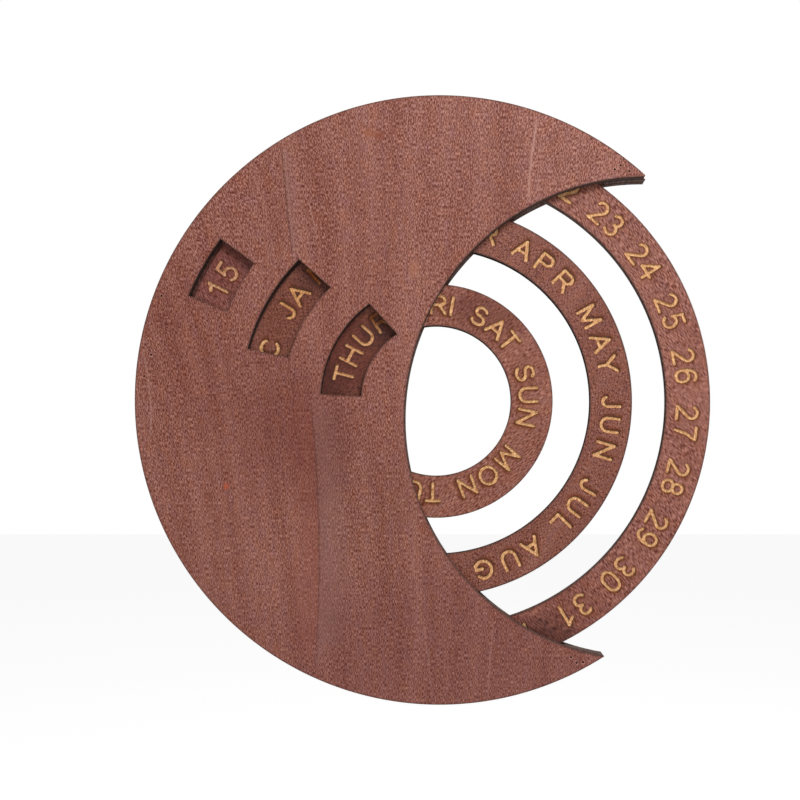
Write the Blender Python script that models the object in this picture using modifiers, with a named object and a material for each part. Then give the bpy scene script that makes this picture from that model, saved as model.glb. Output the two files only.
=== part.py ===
"""A wooden disc calendar that hangs on a wall.

Two crescent panels of thin plywood hold three flat rings between them, one inside the other.
The date, the month and the weekday are read through three windows in the front panel, and the
rings stand free of the crescent on the right, where a finger turns them.

The front faces -Y, +Z is up, and the origin is the middle of the hanging hole on the back face.
"""

import math

import bmesh
import bpy
from mathutils import Matrix, Vector

MM = 0.001

# Boards, from the wall forwards: back panel, middle layer with the rings in it, front panel
PANEL_THICKNESS = 3.0 * MM
SPACER_THICKNESS = 3.0 * MM
GLUE_LINE = 0.2 * MM
RING_SIDE_CLEARANCE = 0.3 * MM

# Middle layer, from the centre outwards: each ring runs in a track between two fixed guides
HUB_RADIUS = 28.4 * MM
HUB_SPACER_WIDTH = 14.5 * MM
WEEKDAY_RING_WIDTH = 17.0 * MM
INNER_GUIDE_WIDTH = 10.6 * MM
MONTH_RING_WIDTH = 17.1 * MM
OUTER_GUIDE_WIDTH = 8.6 * MM
DATE_RING_WIDTH = 17.4 * MM
RIM_WIDTH = 11.4 * MM
RING_PLAY = 2.0 * MM

# Where each loose ring lies in its track, right and up, as shares of the play
WEEKDAY_SHIFT_SHARES = (-0.80, -0.08)
MONTH_SHIFT_SHARES = (-0.55, -0.15)
DATE_SHIFT_SHARES = (0.30, -0.30)

# The round bite that makes the disc a crescent, and the blunt ends of its two tips
BITE_RADIUS = 97.3 * MM
BITE_DIRECTION = -5.2
FRONT_TIP_TRIM = 1.2 * MM
REAR_TIP_TRIM = 0.4 * MM

# Windows over the rings: how far each edge stands out from the ring's own edge, and the angles
# at which the outer and the inner edge end. Only the date window's ends point at the centre.
WEEKDAY_WINDOW_INNER_LAP = 1.2 * MM
WEEKDAY_WINDOW_OUTER_LAP = 0.4 * MM
WEEKDAY_WINDOW_OUTER_ANGLES = (126.2, 177.1)
WEEKDAY_WINDOW_INNER_ANGLES = (123.0, 177.1)
MONTH_WINDOW_INNER_LAP = 1.15 * MM
MONTH_WINDOW_OUTER_LAP = 0.7 * MM
MONTH_WINDOW_OUTER_ANGLES = (135.1, 165.0)
MONTH_WINDOW_INNER_ANGLES = (134.2, 164.2)
DATE_WINDOW_INNER_LAP = 0.95 * MM
DATE_WINDOW_OUTER_LAP = 0.1 * MM
DATE_WINDOW_ANGLES = (143.7, 157.4)

# Headless brads driven in from the front, and the wood that is left behind their points
BRAD_DIAMETER = 0.8 * MM
BRAD_HOLE_CLEARANCE = 0.1 * MM
BRAD_SINK = 0.5 * MM
BRAD_POINT_LENGTH = 1.2 * MM
BRAD_END_CLEARANCE = 0.3 * MM
BRAD_END_COVER = 0.6 * MM

# Brads at the tips: distance in from the bite's edge, and the share of the rim's width outwards
UPPER_FIRST_BRAD_INSET = 3.5 * MM
UPPER_SECOND_BRAD_INSET = 7.3 * MM
UPPER_THIRD_BRAD_INSET = 5.3 * MM
UPPER_BRAD_RIM_SHARES = (0.73, 0.70, 0.46)
LOWER_FIRST_BRAD_INSET = 5.9 * MM
LOWER_SECOND_BRAD_INSET = 7.2 * MM
LOWER_THIRD_BRAD_INSET = 5.0 * MM
LOWER_BRAD_RIM_SHARES = (0.79, 0.70, 0.44)

# Brads in the left of the rim, by their angle
LEFT_BRAD_ANGLES = (159.5, 171.1, 175.4)
LEFT_BRAD_RIM_SHARES = (0.72, 0.55, 0.70)

# Hanging hole, blind from behind, above the calendar's centre of mass
HANGING_HOLE_DIAMETER = 5.0 * MM
HANGING_HOLE_ANGLE = 104.8
HANGING_HOLE_RIM_SHARE = 0.5

# Facets
ARC_STEP = 2.0
BRAD_SIDES = 12
HANGING_HOLE_SIDES = 24
CUT_OVERRUN = 1.0 * MM
WELD_DISTANCE = 0.001 * MM
SCREW_MERGE = 0.01 * MM
SHARP_ANGLE = math.radians(30.0)

# Radii of the middle layer, worked outwards from the hub
WEEKDAY_INNER_RADIUS = HUB_RADIUS + RING_PLAY
WEEKDAY_OUTER_RADIUS = WEEKDAY_INNER_RADIUS + WEEKDAY_RING_WIDTH
INNER_GUIDE_INNER_RADIUS = WEEKDAY_OUTER_RADIUS + RING_PLAY
INNER_GUIDE_OUTER_RADIUS = INNER_GUIDE_INNER_RADIUS + INNER_GUIDE_WIDTH
MONTH_INNER_RADIUS = INNER_GUIDE_OUTER_RADIUS + RING_PLAY
MONTH_OUTER_RADIUS = MONTH_INNER_RADIUS + MONTH_RING_WIDTH
OUTER_GUIDE_INNER_RADIUS = MONTH_OUTER_RADIUS + RING_PLAY
OUTER_GUIDE_OUTER_RADIUS = OUTER_GUIDE_INNER_RADIUS + OUTER_GUIDE_WIDTH
DATE_INNER_RADIUS = OUTER_GUIDE_OUTER_RADIUS + RING_PLAY
DATE_OUTER_RADIUS = DATE_INNER_RADIUS + DATE_RING_WIDTH
RIM_INNER_RADIUS = DATE_OUTER_RADIUS + RING_PLAY
CASE_RADIUS = RIM_INNER_RADIUS + RIM_WIDTH

# The bite stops short of the hub's far side by the width of the hub spacer
BITE_OFFSET = BITE_RADIUS - (HUB_RADIUS - HUB_SPACER_WIDTH)

# Depths, with the back face on the wall at y = 0 and the front towards -Y
BACK_PANEL_FRONT = -PANEL_THICKNESS
SPACER_BACK = BACK_PANEL_FRONT - GLUE_LINE
SPACER_FRONT = SPACER_BACK - SPACER_THICKNESS
FRONT_PANEL_BACK = SPACER_FRONT - GLUE_LINE
FRONT_FACE = FRONT_PANEL_BACK - PANEL_THICKNESS
RING_BACK = BACK_PANEL_FRONT - RING_SIDE_CLEARANCE
RING_FRONT = FRONT_PANEL_BACK + RING_SIDE_CLEARANCE

BITE_ANGLE = math.radians(BITE_DIRECTION)
BITE_CENTRE = Vector((math.cos(BITE_ANGLE), math.sin(BITE_ANGLE))) * BITE_OFFSET


def clear_scene():
    for old in list(bpy.data.objects):
        bpy.data.objects.remove(old)


def make_collection(name):
    collection = bpy.data.collections.new(name)
    bpy.context.scene.collection.children.link(collection)
    return collection


def make_material(name, colour, roughness, metallic=0.0):
    material = bpy.data.materials.new(name)
    material.use_nodes = True
    shader = material.node_tree.nodes["Principled BSDF"]
    shader.inputs["Base Color"].default_value = (*colour, 1.0)
    shader.inputs["Roughness"].default_value = roughness
    shader.inputs["Metallic"].default_value = metallic
    return material


def polar(radius, angle):
    """A point of the face at an angle in radians, counted from the right, anticlockwise."""
    return Vector((math.cos(angle), math.sin(angle))) * radius


def arc(centre, radius, start, end):
    """Points along an arc, both ends included, no further apart than the arc step."""
    count = max(1, math.ceil(abs(end - start) / math.radians(ARC_STEP)))
    turns = (start + (end - start) * step / count for step in range(count + 1))
    return [centre + polar(radius, angle) for angle in turns]


def bite_meeting_angle(radius, side):
    """Where a circle about the case's centre meets the bite, above (side 1) or below (side -1).

    The cosine rule gives the angle between that point and the bite's own direction.
    """
    cosine = (radius**2 + BITE_OFFSET**2 - BITE_RADIUS**2) / (2 * radius * BITE_OFFSET)
    return BITE_ANGLE + side * math.acos(cosine)


def angle_about_bite(point):
    """The angle of a point seen from the bite's centre, between 0 and a full turn."""
    away = point - BITE_CENTRE
    return math.atan2(away.y, away.x) % math.tau


def bite_arc(start_point, end_point, start_trim, end_trim):
    """The stretch of the bite's edge between two of its points, left of the bite's centre."""
    start = angle_about_bite(start_point)
    end = angle_about_bite(end_point)
    way = math.copysign(1.0, end - start)
    start += way * start_trim / BITE_RADIUS
    end -= way * end_trim / BITE_RADIUS
    return arc(BITE_CENTRE, BITE_RADIUS, start, end)


def crescent_band(inner_radius, outer_radius, tip_trim=0.0):
    """The outline of a band round the case's centre whose ends are cut off by the bite.

    With no inner radius the band is solid, and its right edge is the bite itself. A tip trim
    takes a little off both edges of each outer corner, which leaves it blunt.
    """
    centre = Vector((0.0, 0.0))
    upper = bite_meeting_angle(outer_radius, 1)
    lower = bite_meeting_angle(outer_radius, -1) + math.tau
    trim_angle = tip_trim / outer_radius
    outline = arc(centre, outer_radius, upper + trim_angle, lower - trim_angle)
    upper_corner = polar(outer_radius, upper)
    lower_corner = polar(outer_radius, lower)
    if inner_radius == 0.0:
        edge = bite_arc(lower_corner, upper_corner, tip_trim, tip_trim)
        return outline + (edge if tip_trim else edge[1:-1])
    inner_upper = bite_meeting_angle(inner_radius, 1)
    inner_lower = bite_meeting_angle(inner_radius, -1) + math.tau
    lower_edge = bite_arc(lower_corner, polar(inner_radius, inner_lower), tip_trim, 0.0)
    upper_edge = bite_arc(polar(inner_radius, inner_upper), upper_corner, 0.0, tip_trim)
    if not tip_trim:
        lower_edge = lower_edge[1:]
        upper_edge = upper_edge[:-1]
    inner_edge = arc(centre, inner_radius, inner_lower, inner_upper)
    return outline + lower_edge + inner_edge[1:] + upper_edge[1:]


def window(inner_radius, outer_radius, outer_angles, inner_angles):
    """The outline of a window: a piece of a ring, with the angles of its corners in degrees."""
    outer_start, outer_end = (math.radians(angle) for angle in outer_angles)
    inner_start, inner_end = (math.radians(angle) for angle in inner_angles)
    centre = Vector((0.0, 0.0))
    outer_edge = arc(centre, outer_radius, outer_start, outer_end)
    return outer_edge + arc(centre, inner_radius, inner_end, inner_start)


def circle(radius):
    return arc(Vector((0.0, 0.0)), radius, 0.0, math.tau)[:-1]


def make_board(name, outlines, back, front, material, collection, case, centre=(0.0, 0.0)):
    """A board in the plane of the face, from its outline and the holes in it, as a mesh."""
    curve = bpy.data.curves.new(name, "CURVE")
    curve.dimensions = "2D"
    curve.fill_mode = "BOTH"
    curve.extrude = (back - front) / 2
    for outline in outlines:
        spline = curve.splines.new("POLY")
        spline.points.add(len(outline) - 1)
        for point, place in zip(spline.points, outline):
            point.co = (place.x, place.y, 0.0, 1.0)
        spline.use_cyclic_u = True
    drawn = bpy.data.objects.new(name + "_outline", curve)
    collection.objects.link(drawn)
    drawn.parent = case
    drawn.location = (centre[0], (back + front) / 2, centre[1])
    drawn.rotation_euler = (math.pi / 2, 0.0, 0.0)
    bpy.context.view_layer.update()

    depsgraph = bpy.context.evaluated_depsgraph_get()
    mesh = bpy.data.meshes.new_from_object(drawn.evaluated_get(depsgraph))
    mesh.name = name
    edit = bmesh.new()
    edit.from_mesh(mesh)
    bmesh.ops.remove_doubles(edit, verts=edit.verts, dist=WELD_DISTANCE)
    bmesh.ops.recalc_face_normals(edit, faces=edit.faces)
    edit.to_mesh(mesh)
    edit.free()
    mesh.shade_smooth()
    mesh.set_sharp_from_angle(angle=SHARP_ANGLE)
    mesh.materials.clear()
    mesh.materials.append(material)

    board = bpy.data.objects.new(name, mesh)
    collection.objects.link(board)
    board.parent = case
    board.matrix_world = drawn.matrix_world.copy()
    bpy.data.objects.remove(drawn)
    return board


def brad_places():
    """Where each brad stands in the face, by its node's name."""
    places = {}
    tips = (
        ("upper_tip", 1, UPPER_BRAD_RIM_SHARES,
         (UPPER_FIRST_BRAD_INSET, UPPER_SECOND_BRAD_INSET, UPPER_THIRD_BRAD_INSET)),
        ("lower_tip", -1, LOWER_BRAD_RIM_SHARES,
         (LOWER_FIRST_BRAD_INSET, LOWER_SECOND_BRAD_INSET, LOWER_THIRD_BRAD_INSET)),
    )
    for tip, side, shares, insets in tips:
        for number, (share, inset) in enumerate(zip(shares, insets), start=1):
            radius = RIM_INNER_RADIUS + share * RIM_WIDTH
            angle = bite_meeting_angle(radius, side) + side * inset / radius
            places[f"brad_{tip}_{number}"] = polar(radius, angle)
    left = zip(LEFT_BRAD_ANGLES, LEFT_BRAD_RIM_SHARES)
    for number, (angle, share) in enumerate(left, start=1):
        radius = RIM_INNER_RADIUS + share * RIM_WIDTH
        places[f"brad_left_rim_{number}"] = polar(radius, math.radians(angle))
    return places


def make_brads(places, material, collection, case):
    """Headless brads with a turned point, each set a little below the front face."""
    head = -FRONT_FACE - BRAD_SINK
    tip = BRAD_END_COVER + BRAD_END_CLEARANCE
    radius = BRAD_DIAMETER / 2
    profile = [
        (0.0, 0.0, head),
        (radius, 0.0, head),
        (radius, 0.0, tip + BRAD_POINT_LENGTH),
        (0.0, 0.0, tip),
    ]
    mesh = bpy.data.meshes.new("brad")
    mesh.from_pydata(profile, [(0, 1), (1, 2), (2, 3)], [])
    mesh.materials.append(material)
    for name, place in places.items():
        brad = bpy.data.objects.new(name, mesh)
        collection.objects.link(brad)
        brad.parent = case
        brad.location = (place.x, 0.0, place.y)
        brad.rotation_euler = (math.pi / 2, 0.0, 0.0)
        turned = brad.modifiers.new("turned", "SCREW")
        turned.steps = BRAD_SIDES
        turned.render_steps = BRAD_SIDES
        turned.use_merge_vertices = True
        turned.merge_threshold = SCREW_MERGE
        turned.use_smooth_shade = False


def make_drill(name, places, radius, sides, back, front, collection, case):
    """Upright drills as one cutter: a cylinder along Y at each place, from back to front."""
    edit = bmesh.new()
    along_y = Matrix.Rotation(math.pi / 2, 4, "X")
    for place in places:
        middle = Vector((place.x, (back + front) / 2, place.y))
        bmesh.ops.create_cone(
            edit,
            cap_ends=True,
            segments=sides,
            radius1=radius,
            radius2=radius,
            depth=back - front,
            matrix=Matrix.Translation(middle) @ along_y,
        )
    mesh = bpy.data.meshes.new(name)
    edit.to_mesh(mesh)
    edit.free()
    drill = bpy.data.objects.new(name, mesh)
    collection.objects.link(drill)
    drill.parent = case
    drill.hide_render = True
    drill.display_type = "WIRE"
    return drill


def cut(board, drill):
    hole = board.modifiers.new(drill.name, "BOOLEAN")
    hole.operation = "DIFFERENCE"
    hole.solver = "EXACT"
    hole.object = drill


def make_ring(name, inner_radius, outer_radius, shift_shares, material, collection, case):
    """A loose ring, lying off the case's centre by its share of the play in its track."""
    centre = [share * RING_PLAY for share in shift_shares]
    outlines = [circle(outer_radius), circle(inner_radius)]
    make_board(name, outlines, RING_BACK, RING_FRONT, material, collection, case, centre)


def build():
    clear_scene()
    parts = make_collection("wooden_disc_calendar")
    cutters = make_collection("cutters")
    panel_wood = make_material("panel_wood", (0.262, 0.107, 0.084), 0.62)
    spacer_wood = make_material("spacer_wood", (0.120, 0.066, 0.050), 0.75)
    ring_wood = make_material("ring_wood", (0.215, 0.086, 0.063), 0.66)
    brad_steel = make_material("brad_steel", (0.180, 0.170, 0.165), 0.45, metallic=1.0)

    hanging_radius = RIM_INNER_RADIUS + HANGING_HOLE_RIM_SHARE * RIM_WIDTH
    hanging_place = polar(hanging_radius, math.radians(HANGING_HOLE_ANGLE))
    case = bpy.data.objects.new("case_centre", None)
    case.location = (-hanging_place.x, 0.0, -hanging_place.y)
    parts.objects.link(case)

    windows = [
        window(WEEKDAY_INNER_RADIUS + WEEKDAY_WINDOW_INNER_LAP,
               WEEKDAY_OUTER_RADIUS + WEEKDAY_WINDOW_OUTER_LAP,
               WEEKDAY_WINDOW_OUTER_ANGLES, WEEKDAY_WINDOW_INNER_ANGLES),
        window(MONTH_INNER_RADIUS + MONTH_WINDOW_INNER_LAP,
               MONTH_OUTER_RADIUS + MONTH_WINDOW_OUTER_LAP,
               MONTH_WINDOW_OUTER_ANGLES, MONTH_WINDOW_INNER_ANGLES),
        window(DATE_INNER_RADIUS + DATE_WINDOW_INNER_LAP,
               DATE_OUTER_RADIUS + DATE_WINDOW_OUTER_LAP,
               DATE_WINDOW_ANGLES, DATE_WINDOW_ANGLES),
    ]
    front_outline = crescent_band(0.0, CASE_RADIUS, FRONT_TIP_TRIM)
    front_panel = make_board("front_panel", [front_outline, *windows], FRONT_PANEL_BACK,
                             FRONT_FACE, panel_wood, parts, case)
    back_outline = crescent_band(0.0, CASE_RADIUS, REAR_TIP_TRIM)
    back_panel = make_board("back_panel", [back_outline], 0.0, BACK_PANEL_FRONT,
                            panel_wood, parts, case)

    spacers = (
        ("rim_spacer", crescent_band(RIM_INNER_RADIUS, CASE_RADIUS, REAR_TIP_TRIM)),
        ("outer_guide", crescent_band(OUTER_GUIDE_INNER_RADIUS, OUTER_GUIDE_OUTER_RADIUS)),
        ("inner_guide", crescent_band(INNER_GUIDE_INNER_RADIUS, INNER_GUIDE_OUTER_RADIUS)),
        ("hub_spacer", crescent_band(0.0, HUB_RADIUS)),
    )
    for name, outline in spacers:
        make_board(name, [outline], SPACER_BACK, SPACER_FRONT, spacer_wood, parts, case)
    rim_spacer = parts.objects["rim_spacer"]

    rings = (
        ("weekday_ring", WEEKDAY_INNER_RADIUS, WEEKDAY_OUTER_RADIUS, WEEKDAY_SHIFT_SHARES),
        ("month_ring", MONTH_INNER_RADIUS, MONTH_OUTER_RADIUS, MONTH_SHIFT_SHARES),
        ("date_ring", DATE_INNER_RADIUS, DATE_OUTER_RADIUS, DATE_SHIFT_SHARES),
    )
    for name, inner_radius, outer_radius, shift_shares in rings:
        make_ring(name, inner_radius, outer_radius, shift_shares, ring_wood, parts, case)

    places = brad_places()
    make_brads(places, brad_steel, parts, case)
    brad_drill = make_drill("brad_drill", places.values(),
                            BRAD_DIAMETER / 2 + BRAD_HOLE_CLEARANCE, BRAD_SIDES,
                            -BRAD_END_COVER, FRONT_FACE - CUT_OVERRUN, cutters, case)
    hanging_drill = make_drill("hanging_drill", [hanging_place], HANGING_HOLE_DIAMETER / 2,
                               HANGING_HOLE_SIDES, CUT_OVERRUN, SPACER_FRONT - GLUE_LINE / 2,
                               cutters, case)
    for board in (front_panel, rim_spacer, back_panel):
        cut(board, brad_drill)
    for board in (rim_spacer, back_panel):
        cut(board, hanging_drill)


build()
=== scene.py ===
import itertools
import math

import bpy
import numpy as np
from mathutils.geometry import delaunay_2d_cdt
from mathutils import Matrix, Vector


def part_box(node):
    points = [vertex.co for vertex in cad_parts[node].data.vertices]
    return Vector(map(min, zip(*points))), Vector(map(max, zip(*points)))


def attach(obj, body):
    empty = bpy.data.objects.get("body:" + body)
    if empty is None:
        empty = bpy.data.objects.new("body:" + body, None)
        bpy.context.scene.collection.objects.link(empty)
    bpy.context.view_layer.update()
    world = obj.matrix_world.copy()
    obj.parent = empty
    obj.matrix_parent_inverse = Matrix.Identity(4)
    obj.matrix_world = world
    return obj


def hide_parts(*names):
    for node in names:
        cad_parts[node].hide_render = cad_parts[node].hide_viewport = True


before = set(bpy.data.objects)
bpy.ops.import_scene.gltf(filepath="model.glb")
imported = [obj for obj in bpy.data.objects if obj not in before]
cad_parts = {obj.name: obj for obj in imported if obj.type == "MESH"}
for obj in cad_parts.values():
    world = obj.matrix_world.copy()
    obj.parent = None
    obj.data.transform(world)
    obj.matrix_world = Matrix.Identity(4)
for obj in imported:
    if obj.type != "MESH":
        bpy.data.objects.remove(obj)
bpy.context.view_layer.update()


# Camera: square to the face and 34 cm in front of it, right of and below the middle, which the
# lens shift brings back into the picture. Its place comes from the edges seen at the two tips.
FRAME_WIDTH = 0.3214
CAMERA_DISTANCE = 0.340
CAMERA_PLACE = (0.03944, -0.3494, -0.1413)
SENSOR_WIDTH = 36.0
LENS_SHIFT = (-0.0793, 0.0882)
camera_data = bpy.data.cameras.new("camera")
camera_data.sensor_width = SENSOR_WIDTH
camera_data.lens = SENSOR_WIDTH * CAMERA_DISTANCE / FRAME_WIDTH
camera_data.shift_x, camera_data.shift_y = LENS_SHIFT
camera = bpy.data.objects.new("camera", camera_data)
camera.location = CAMERA_PLACE
camera.rotation_euler = (math.pi / 2, 0.0, 0.0)
bpy.context.scene.collection.objects.link(camera)
bpy.context.scene.camera = camera


# Front panel: a crescent of 3 mm three-ply with a fine-grained face veneer, stained reddish
# brown, laser-cut with its three windows and so scorched along every edge. Nine brads hold it.
front_low, front_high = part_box("front_panel")
CASE_RADIUS = 500.0 * (front_high.z - front_low.z)
CASE_X = front_low.x + CASE_RADIUS / 1000.0
CASE_Z = (front_high.z + front_low.z) / 2
FRONT_FACE = 1000.0 * front_low.y
FRONT_PANEL_BACK = 1000.0 * front_high.y
BITE_RADIUS = 97.1
BITE_OFFSET = 83.2
BITE_DIRECTION = -5.1
BITE_CENTRE = BITE_OFFSET * np.array([math.cos(math.radians(BITE_DIRECTION)),
                                      math.sin(math.radians(BITE_DIRECTION))])
RIM_INNER_RADIUS = 111.1
RIM_WIDTH = 11.4
UPPER_TIP_TRIM = 1.0
# Each window: its inner and outer radius, then the angles of its outer and of its inner edge
WINDOWS = ((31.6, 47.8, (126.2, 177.1), (123.0, 177.1)),
           (63.15, 79.8, (135.1, 165.0), (134.2, 164.2)),
           (92.65, 109.2, (143.7, 157.4), (143.7, 157.4)))
BRAD_HOLE_RADIUS = 0.43
EASE = 0.1
SCORCH_REACH = 0.7


def arc(centre, radius, start, end, step=0.75):
    """Points at one radius from a centre, at even angles in degrees, both ends included."""
    count = max(2, int(math.ceil(abs(end - start) / step)) + 1)
    angle = np.radians(np.linspace(start, end, count))
    return np.asarray(centre) + radius * np.stack([np.cos(angle), np.sin(angle)], axis=1)


def meeting_angle(radius, side):
    """Where a circle about the case's centre meets the bite, in degrees, by the cosine rule."""
    cosine = (radius**2 + BITE_OFFSET**2 - BITE_RADIUS**2) / (2 * radius * BITE_OFFSET)
    return BITE_DIRECTION + side * math.degrees(math.acos(cosine))


def bite_edge(start_radius, start_side, end_radius, end_side, end_trim=0.0):
    """The bite's edge between two circles about the case's centre, as an arc round the bite's
    own centre. It stops short of the second circle by the trim.
    """
    ends = []
    for radius, side in ((start_radius, start_side), (end_radius, end_side)):
        turn = math.radians(meeting_angle(radius, side))
        away = radius * np.array([math.cos(turn), math.sin(turn)]) - BITE_CENTRE
        ends.append(math.degrees(math.atan2(away[1], away[0])) % 360.0)
    way = math.copysign(1.0, ends[1] - ends[0])
    end = ends[1] - way * math.degrees(end_trim / BITE_RADIUS)
    return arc(BITE_CENTRE, BITE_RADIUS, ends[0], end)


def closed_loop(*runs):
    """Runs of points joined into one loop, without the points that repeat the one before."""
    points = np.concatenate(runs)
    apart = np.linalg.norm(points - np.roll(points, 1, axis=0), axis=1)
    return points[apart > 1e-6]


def crescent(inner_radius, outer_radius, upper_trim=0.0):
    """A band round the case's centre, cut off by the bite, with its upper tip trimmed blunt.

    Round the outside, in along the lower cut, back round the inside, and out along the upper.
    Without an inner radius, round the outside and back along the whole bite.
    """
    upper = meeting_angle(outer_radius, 1) + math.degrees(upper_trim / outer_radius)
    outside = arc((0.0, 0.0), outer_radius, upper, meeting_angle(outer_radius, -1) + 360.0)
    if inner_radius == 0.0:
        return closed_loop(outside, bite_edge(outer_radius, -1, outer_radius, 1, upper_trim))
    lower_cut = bite_edge(outer_radius, -1, inner_radius, -1)
    upper_cut = bite_edge(inner_radius, 1, outer_radius, 1, upper_trim)
    inside = arc((0.0, 0.0), inner_radius, meeting_angle(inner_radius, -1) + 360.0,
                 meeting_angle(inner_radius, 1))
    return closed_loop(outside, lower_cut, inside, upper_cut)


def hole(centre, radius, sides=16):
    """A round hole's loop, taken clockwise so that the wood lies on its left."""
    return arc(centre, radius, 360.0, 0.0, 360.0 / sides)[:-1]


def inset(loop, distance):
    """The loop moved into the wood on its left by one distance, corners kept by their mitres."""
    ahead = np.roll(loop, -1, axis=0) - loop
    ahead /= np.linalg.norm(ahead, axis=1)[:, None]
    left = np.stack([-ahead[:, 1], ahead[:, 0]], axis=1)
    before = np.roll(left, 1, axis=0)
    return loop + distance * (left + before) / (1.0 + (left * before).sum(axis=1))[:, None]


def flattened(lists):
    """All the numbers of a list of lists in one array, and which list each comes from."""
    count = np.fromiter(map(len, lists), int)
    owner = np.repeat(np.arange(len(count)), count)
    return np.fromiter(itertools.chain.from_iterable(lists), int), owner


def flat_face(loops, strokes=(), lines=()):
    """The flat face inside the first loop and outside the rest, as triangles that keep all lines.

    Returns the points, the triangles, which of them lie in a stroke, and each loop's points.
    """
    runs = [loops[0]] + [loop[::-1] for loop in loops[1:]] + list(strokes)
    first = np.cumsum([0] + [len(run) for run in runs] + [len(line) for line, _ in lines])
    faces = [list(range(a, b)) for a, b in zip(first[:len(runs)], first[1:len(runs) + 1])]
    edges = []
    for (line, is_closed), start in zip(lines, first[len(runs):-1]):
        here = start + np.arange(len(line))
        there = start + (np.arange(len(line)) + 1) % len(line)
        pairs = np.stack([here, there], axis=1)
        edges += (pairs if is_closed else pairs[:-1]).tolist()
    points = np.concatenate(runs + [line for line, _ in lines])
    made = delaunay_2d_cdt(points.tolist(), edges, faces, 1, 1e-5, True)
    run, triangle = flattened(made[5])
    held = [np.bincount(triangle[which], minlength=len(made[2])) > 0
            for which in (run == 0, (run > 0) & (run < len(loops)), run >= len(loops))]
    inside = held[0] & ~held[1]
    old, new = flattened(made[3])
    now = np.zeros(len(points), int)
    now[old] = new
    rims = [now[first[k]:first[k + 1]] for k in range(len(loops))]
    rims = [rims[0]] + [rim[::-1] for rim in rims[1:]]
    return np.array(made[0]), np.array(made[2])[inside], held[2][inside], rims


def link_piece(name, points, faces, which, edge_tone, materials, smoke=()):
    """A piece from points in face millimetres (right, back, up), set round the case's centre."""
    mesh = bpy.data.meshes.new(name)
    placed = points * 0.001 + np.array([CASE_X, 0.0, CASE_Z])
    mesh.from_pydata(placed.tolist(), [], faces)
    for material in materials:
        mesh.materials.append(material)
    mesh.polygons.foreach_set("material_index", np.asarray(which, np.int32))
    tone = mesh.attributes.new("edge_tone", "FLOAT", "POINT")
    tone.data.foreach_set("value", np.asarray(edge_tone, np.float32))
    if len(smoke):
        stain = mesh.attributes.new("smoke", "FLOAT", "POINT")
        stain.data.foreach_set("value", np.append(smoke, np.zeros(len(points) - len(smoke))))
    mesh.shade_smooth()
    mesh.set_sharp_from_angle(angle=math.radians(30.0))
    piece = bpy.data.objects.new(name, mesh)
    bpy.context.scene.collection.objects.link(piece)
    return piece


def board(name, loops, front, back, materials, tones=None, chars=None, engraving=None):
    """A board with eased edges: each loop is carried through the thickness along the profile
    eased front, wall, eased back, and the flat faces close it. The tone at a loop's edge is 1
    where it is scorched and -1 where it is bruised, and fades to 0 a little way in. The char of
    a wall is 1, and up to 2 where the cut burnt deeper; on deep walls it also holds painted shade.
    """
    tones = [1.0] * len(loops) if tones is None else tones
    chars = [1.0] * len(loops) if chars is None else chars
    eased = [inset(loop, EASE) for loop in loops]
    fades = [(inset(loop, EASE + SCORCH_REACH * (0.5 if tone < 0 else 1.0)), True)
             for loop, tone in zip(loops, tones)]
    strokes, lines, tones_at, depth = engraving or ((), (), None, 0.0)
    face, triangles, cut, rims = flat_face(eased, strokes, fades + list(lines))
    rear, rear_triangles, _, rear_rims = flat_face(eased, (), fades)
    points = [np.insert(face, 1, front, axis=1)]
    edge_tone, smoke, floor_tone = tones_at(face) if engraving else (np.zeros(len(face)), (), ())
    tone_runs = [edge_tone]
    for rim, tone in zip(rims, tones):
        edge_tone[rim] = tone
    faces = triangles[~cut].tolist()
    which = [0] * len(faces)
    count = len(face)
    if cut.any():
        # The engraved triangles sink to the floor, and walls join them to the face round them
        sunk = np.unique(triangles[cut])
        floor_of = np.full(len(face), -1)
        floor_of[sunk] = count + np.arange(len(sunk))
        floor = floor_of[triangles[cut]]
        sides = np.concatenate([triangles[cut][:, [0, 1]], triangles[cut][:, [1, 2]],
                                triangles[cut][:, [2, 0]]])
        key = sides[:, 0] * len(face) + sides[:, 1]
        twin = sides[:, 1] * len(face) + sides[:, 0]
        wall = sides[~np.isin(twin, key)]
        walls = np.stack([wall[:, 0], wall[:, 1], floor_of[wall[:, 1]], floor_of[wall[:, 0]]], 1)
        points.append(np.insert(face[sunk], 1, front + depth, axis=1))
        tone_runs.append(floor_tone[sunk])
        faces += floor.tolist() + walls.tolist()
        which += [2] * (len(floor) + len(walls))
        count += len(sunk)
    rear_start = count
    points.append(np.insert(rear, 1, back, axis=1))
    rear_tone = np.zeros(len(rear))
    for rim, tone in zip(rear_rims, tones):
        rear_tone[rim] = tone
    tone_runs.append(rear_tone)
    faces += (rear_start + rear_triangles[:, ::-1]).tolist()
    which += [0] * len(rear_triangles)
    count += len(rear)
    for loop, rim, rear_rim, char in zip(loops, rims, rear_rims, chars):
        size = len(loop)
        rows = np.stack([rim, count + np.arange(size), count + size + np.arange(size),
                         rear_start + rear_rim])
        points.append(np.insert(loop, 1, front + EASE, axis=1))
        points.append(np.insert(loop, 1, back - EASE, axis=1))
        tone_runs.append(np.full(2 * size, char))
        count += 2 * size
        ahead = np.roll(rows, -1, axis=1)
        strips = np.stack([rows[:-1], rows[1:], ahead[1:], ahead[:-1]], axis=-1).reshape(-1, 4)
        faces += strips.tolist()
        which += [0] * size + [1] * size + [0] * size
    return link_piece(name, np.concatenate(points), faces, which, np.concatenate(tone_runs),
                      materials, smoke)


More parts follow.
